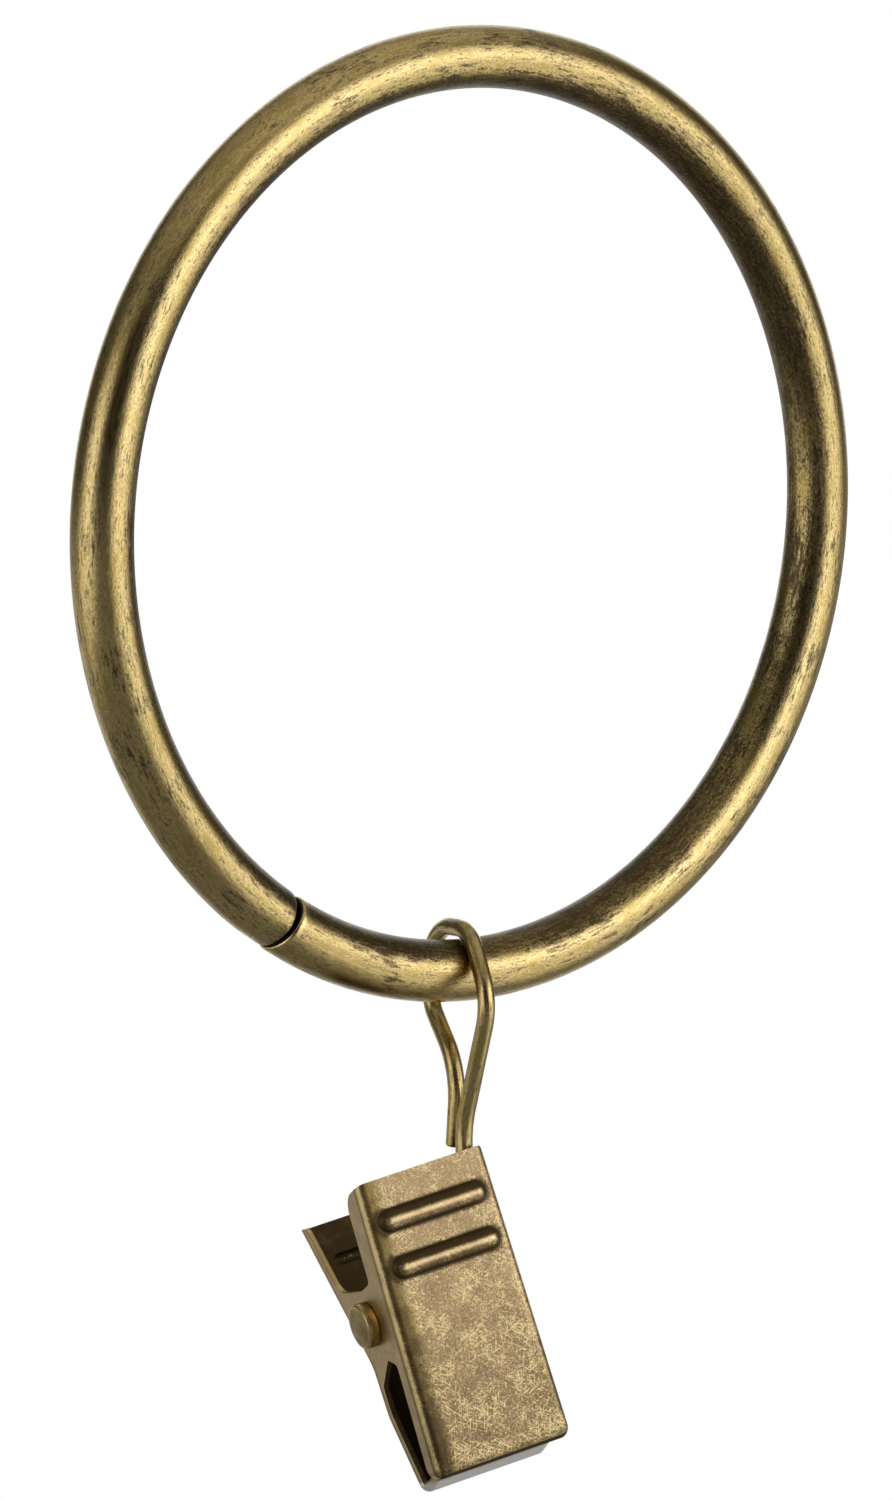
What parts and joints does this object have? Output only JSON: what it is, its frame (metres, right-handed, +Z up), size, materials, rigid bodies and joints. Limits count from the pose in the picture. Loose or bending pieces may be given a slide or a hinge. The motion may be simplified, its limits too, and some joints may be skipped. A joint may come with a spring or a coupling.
{
  "type": "curtain ring with clip",
  "caption": "Hollow brass curtain ring with a wire hanger and a hinged, sprung clip that grips the curtain's top edge.",
  "frame": {"origin": "centre of the ring, where the curtain rod's axis passes", "axes": "+Y along the curtain rod, +Z up, the ring in the XZ plane and the clip hanging below it"},
  "size_m": [0.0584, 0.0161, 0.088],
  "materials": {
    "ring_brass": "antiqued, brushed, worn bright",
    "wire_brass": "antiqued, drawn wire",
    "jaw_brass": "antiqued, tumbled, fine scratches, worn edges",
    "rivet_brass": "antiqued, domed",
    "spring_steel": "dull drawn wire"
  },
  "bodies": {
    "ring_body": {"ring": "ring_brass"},
    "hanger_body": {"hanger": "wire_brass"},
    "clip_front": {"front_jaw": "jaw_brass", "pivot_rivet": "rivet_brass", "torsion_spring": "spring_steel"},
    "clip_back": {"back_jaw": "jaw_brass"}
  },
  "joints": [
    {"name": "hanger_swing", "type": "hinge", "parent": "ring_body", "child": "hanger_body", "pos_m": [0, 0, -0.02738], "axis": [1, 0, 0], "continuous": true},
    {"name": "clip_tilt", "type": "hinge", "parent": "hanger_body", "child": "clip_front", "pos_m": [-0.00075, 0.00078, -0.04757], "axis": [0.9462, -0.2037, 0.2516], "range_deg": [0, 20]},
    {"name": "jaw_open", "type": "hinge", "parent": "clip_front", "child": "clip_back", "pos_m": [-0.00075, 0.00078, -0.04757], "axis": [0.9462, -0.2037, 0.2516], "range_deg": [0, 30], "stiffness_Nm_per_rad": 0.005, "deforming": ["torsion_spring"]}
  ]
}
